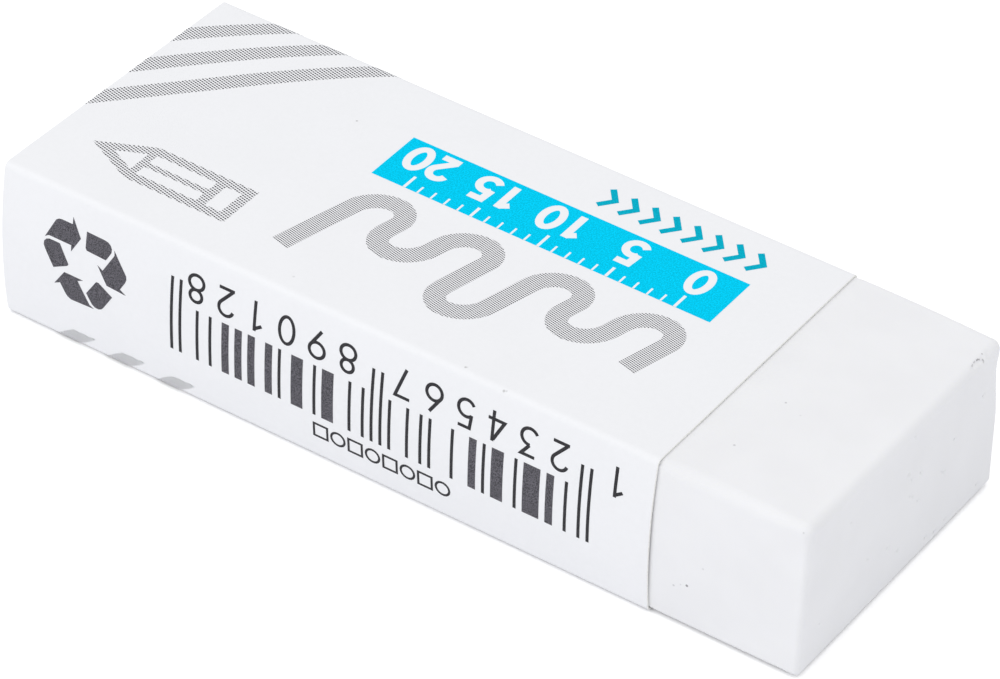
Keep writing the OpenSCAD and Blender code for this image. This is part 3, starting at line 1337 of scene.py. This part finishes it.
    def bar_code(self, fine: bool) -> list[Array]:
        """The bars of the thirteen-figure linear code, worked out from its figures.

        Each figure is seven modules wide. Its odd pattern comes from a table of four runs, its even
        pattern is the right-hand one backwards, and the first figure says which of the left six are
        even. Dark and light alternate, and the guard bars are longer.

        Args:
            fine: Whether the bars of one module are wanted, and not the wider ones.

        Returns:
            The bars' grids.
        """
        runs = ("3211", "2221", "2122", "1411", "1132", "1231", "1114", "1312", "1213", "3112")
        parity = ("OOOOOO", "OOEOEE", "OOEEOE", "OOEEEO", "OEOOEE", "OEEOOE", "OEEEOO", "OEOEOE", "OEOEEO", "OEEOEO")
        sequence = [("111", False, True)]
        for figure, kind in zip(self.figures[1:7], parity[int(self.figures[0])]):
            widths = runs[int(figure)]
            sequence.append((widths if kind == "O" else widths[::-1], True, False))
        sequence.append(("11111", True, True))
        sequence += [(runs[int(figure)], False, False) for figure in self.figures[7:]]
        sequence.append(("111", False, True))
        start, foot, top, guard_top = 14.85, 3.61, 7.50, 9.25
        grids, at = [], start
        for widths, light, guard in sequence:
            for width in map(int, widths):
                if not light and fine == (width == 1):
                    right, left = at - self.bar_loss / 2, at - width * self.module + self.bar_loss / 2
                    grids.append(box_patch(left, right, foot, guard_top if guard else top))
                at -= width * self.module
                light = not light
        return grids

    def bar_code_numbers(self) -> list[Array]:
        """The code's figures: the first by itself, and two groups of six between the guard bars.

        Returns:
            The strokes' grids.
        """
        height, advance, width, level = 2.2, 2.28, 0.225, 9.08
        rows = ((self.figures[:1], 16.50), (self.figures[1:7], 6.74), (self.figures[7:], -8.72))
        grids = []
        for figures, middle in rows:
            grids += number_strokes(figures, (middle, level), height, advance, width)
        return grids

    def recycling_sign(self) -> list[Array]:
        """The common sign of three chasing arrows: one folded arrow, turned by thirds of a circle.

        Returns:
            The patches' grids.
        """
        middle = np.array([-23.04, 6.93])
        upper = path((-3.05, 0.92), (-2.32, 2.34), arc((-1.78, 2.12), (0.6, 0.6), 160, 90), (-0.93, 2.72))
        lower = path((-3.05, 0.92), (-2.75, 1.13), (-0.98, 1.13))
        head = path((-0.93, 3.25), (-0.27, 1.92)), path((-1.0, 0.66), (-0.27, 1.92))
        tail_outer = path((-2.38, -1.18), (-3.08, 0.1), arc((-2.62, 0.36), (0.52, 0.52), 205, 92), (-1.88, 0.88))
        tail_inner = path((-2.38, -1.18), (-1.15, -0.53), (-1.88, 0.88))
        patches = ((upper, lower), head, (tail_outer, tail_inner))
        shapes = [ruled(evened(first, 13), evened(second, 13), 0.4) for first, second in patches]
        grids = []
        for third in range(3):
            turn = math.radians(120 * third)
            spin = np.array([[math.cos(turn), math.sin(turn)], [-math.sin(turn), math.cos(turn)]])
            grids += [middle + shape @ spin for shape in shapes]
        return grids

    def control_marks(self) -> list[Array]:
        """A row of the printer's small control marks, rings and squares in turn.

        Returns:
            The marks' grids.
        """
        left, right, level, half, width, count = -4.92, 4.17, 2.41, 0.5, 0.16, 8
        grids = []
        for number, x in enumerate(np.linspace(left, right, count)):
            if number % 2:
                line = arc((x, level), (half, half), 0, 360, 20)
            else:
                line = path((x - half, level - half), (x + half, level - half), (x + half, level + half))
                line = path(line, (x - half, level + half), (x - half, level - half))
            grids.append(stroke(resampled(line, 0.6, width), width))
        return grids

    def build(self) -> None:
        """Prints the two wide panels and the front."""
        for panel in (Panel.TOP, Panel.UNDERSIDE):
            side = panel.value
            self.ink(f"stripes_{side}", panel, Inks.COARSE_GREY, self.stripes(panel))
            self.ink(f"scribble_{side}", panel, Inks.GREY, self.scribble())
            self.ink(f"pencil_sign_{side}", panel, Inks.COARSE_GREY, self.pencil())
            self.ink(f"scale_bar_{side}", panel, Inks.CYAN, self.scale_bar())
            self.ink(f"scale_marks_{side}", panel, Inks.WHITE, self.scale_marks(), level=1)
            self.ink(f"chevrons_{side}", panel, Inks.DEEP_CYAN, self.chevrons())
        self.ink("bar_code_wide", Panel.FRONT, Inks.BLACK, self.bar_code(fine=False))
        self.ink("bar_code_fine", Panel.FRONT, Inks.FINE_BLACK, self.bar_code(fine=True))
        self.ink("bar_code_numbers", Panel.FRONT, Inks.FINE_BLACK, self.bar_code_numbers())
        self.ink("recycling_sign", Panel.FRONT, Inks.BLACK, self.recycling_sign())
        self.ink("control_marks", Panel.FRONT, Inks.FINE_BLACK, self.control_marks())


# ---- Floor, light and camera ----


@dataclass
class Studio:
    """A plain white floor under soft light, with one large lamp over the block's far front corner.

    The floor darkens where something stands over it within the crevice's reach, in millimetres.
    """

    floor_radius: float = 1.5
    floor_level: float = -0.001
    sky: Colour = (0.985, 0.988, 1.0)
    sky_strength: float = 0.88
    lamp_place: tuple[float, float, float] = (-0.35, -0.45, 0.60)
    lamp_size: float = 0.5
    lamp_power: float = 1.4
    floor_tone: Colour = (0.93, 0.935, 0.955)
    floor_glow: float = 0.22
    shadow_fade: tuple[float, float] = (60.0, 130.0)
    crevice: float = 0.38
    glow_rise: tuple[float, float] = (0.42, 0.78)

    def floor_material(self) -> bpy.types.Material:
        """White for the camera with the object's shadow on it, and a little darker as a reflector.

        A little white light of its own keeps the shadow faint, except in the narrow gap under the
        object's edges, and drowns it far away.

        Returns:
            The material.
        """
        recipe = Recipe("studio_floor")
        rays = recipe.node("ShaderNodeLightPath")
        seen = Signal(recipe, rays.outputs["Is Camera Ray"])
        place = recipe.node("ShaderNodeVectorMath", {"operation": "LENGTH"}, {0: recipe.place()})
        far = Signal(recipe, place.outputs["Value"]).ramp(*self.shadow_fade)
        crevice = recipe.node("ShaderNodeAmbientOcclusion", {"samples": 4}, {"Distance": self.crevice * MM})
        clear = Signal(recipe, crevice.outputs["AO"]).ramp(*self.glow_rise)
        tone = recipe.blend(seen, self.floor_tone, WHITE)
        matt = recipe.node("ShaderNodeBsdfDiffuse", None, {"Color": tone})
        white = recipe.node("ShaderNodeEmission", None, {"Color": WHITE, "Strength": 2.0})
        glow = clear * self.floor_glow
        share = seen * (far * (1 - glow) + glow)
        mixed = recipe.node("ShaderNodeMixShader", None, {0: share, 1: matt.outputs[0], 2: white.outputs[0]})
        recipe.feed(recipe.output.inputs[0], mixed.outputs[0])
        return recipe.material

    def floor(self) -> bpy.types.Object:
        """A round floor at the height that the part stands on.

        The floor is rings about the origin: a radius that grows evenly, times the cosine and the
        sine of an angle.

        Returns:
            The floor, which isn't part of the object.
        """
        rings, spokes = 9, 65
        radius = np.linspace(0.0, self.floor_radius / MM, rings)[:, None]
        angle = np.radians(np.linspace(0, 360, spokes))[None, :]
        flat = np.full((rings, spokes), self.floor_level)
        points = np.stack([radius * np.cos(angle), radius * np.sin(angle), flat], axis=-1)
        piece = Skin.grid(points).build("studio_floor", [self.floor_material()])
        return piece

    def world(self) -> None:
        """An even sky that lights from all round and shows white to the camera."""
        world = bpy.data.worlds.new("studio_sky")
        world.use_nodes = True
        tree = world.node_tree
        tree.nodes.clear()
        output, rays, mix = (tree.nodes.new(f"ShaderNode{kind}") for kind in ("OutputWorld", "LightPath", "MixShader"))
        tree.links.new(rays.outputs["Is Camera Ray"], mix.inputs[0])
        for slot, colour, strength in ((1, self.sky, self.sky_strength), (2, WHITE, 1.0)):
            light = tree.nodes.new("ShaderNodeBackground")
            light.inputs["Color"].default_value = (*colour, 1.0)
            light.inputs["Strength"].default_value = strength
            tree.links.new(light.outputs[0], mix.inputs[slot])
        tree.links.new(mix.outputs[0], output.inputs[0])
        bpy.context.scene.world = world

    def lamp(self) -> None:
        """One large square lamp, turned to the object."""
        data = bpy.data.lights.new("soft_box", "AREA")
        data.shape, data.size, data.energy = "SQUARE", self.lamp_size, self.lamp_power
        lamp = bpy.data.objects.new("soft_box", data)
        lamp.location = self.lamp_place
        lamp.rotation_euler = (-Vector(self.lamp_place)).to_track_quat("-Z", "Y").to_euler()
        bpy.context.scene.collection.objects.link(lamp)

    def build(self) -> None:
        """Sets up the floor, the sky and the lamp."""
        self.floor()
        self.world()
        self.lamp()
        log.info("studio: floor, sky and one lamp")


@dataclass
class Viewpoint:
    """A long-lens camera over the front corner at the bare end."""

    eye: tuple[float, float, float] = (0.145574, -0.228148, 0.220067)
    ahead: tuple[float, float, float] = (-0.419993, 0.660029, -0.622870)
    right: tuple[float, float, float] = (0.826791, 0.561273, 0.037263)
    lens: float = 200.415

    def build(self) -> bpy.types.Object:
        """Makes the scene's camera.

        Returns:
            The camera.
        """
        data = bpy.data.cameras.new("camera")
        data.lens, data.sensor_width = self.lens, 36.0
        data.clip_start, data.clip_end = 0.01, 10.0
        ahead, right = Vector(self.ahead).normalized(), Vector(self.right)
        right = (right - right.dot(ahead) * ahead).normalized()
        up = right.cross(ahead)
        camera = bpy.data.objects.new("camera", data)
        camera.matrix_world = Matrix.Translation(self.eye) @ Matrix((right, up, -ahead)).transposed().to_4x4()
        bpy.context.scene.collection.objects.link(camera)
        bpy.context.scene.camera = camera
        return camera


def box_of(node: str) -> tuple[Vector, Vector]:
    """A CAD node's lowest and highest corners in millimetres."""
    lower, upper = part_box(node)
    return lower / MM, upper / MM


def main() -> None:
    """Builds the camera and the studio, then the object's pieces in order."""
    logging.basicConfig(level=logging.INFO, format="%(name)s: %(message)s")
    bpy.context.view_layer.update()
    bpy.context.scene.view_settings.view_transform = "Standard"
    Viewpoint().build()
    Studio().build()
    sleeve = Sleeve(*box_of("card_sleeve"))
    RubberBlock(*box_of("rubber_block"), sleeve).build()
    sleeve.build()
    Print(sleeve).build()


if __name__ == "__main__":
    main()
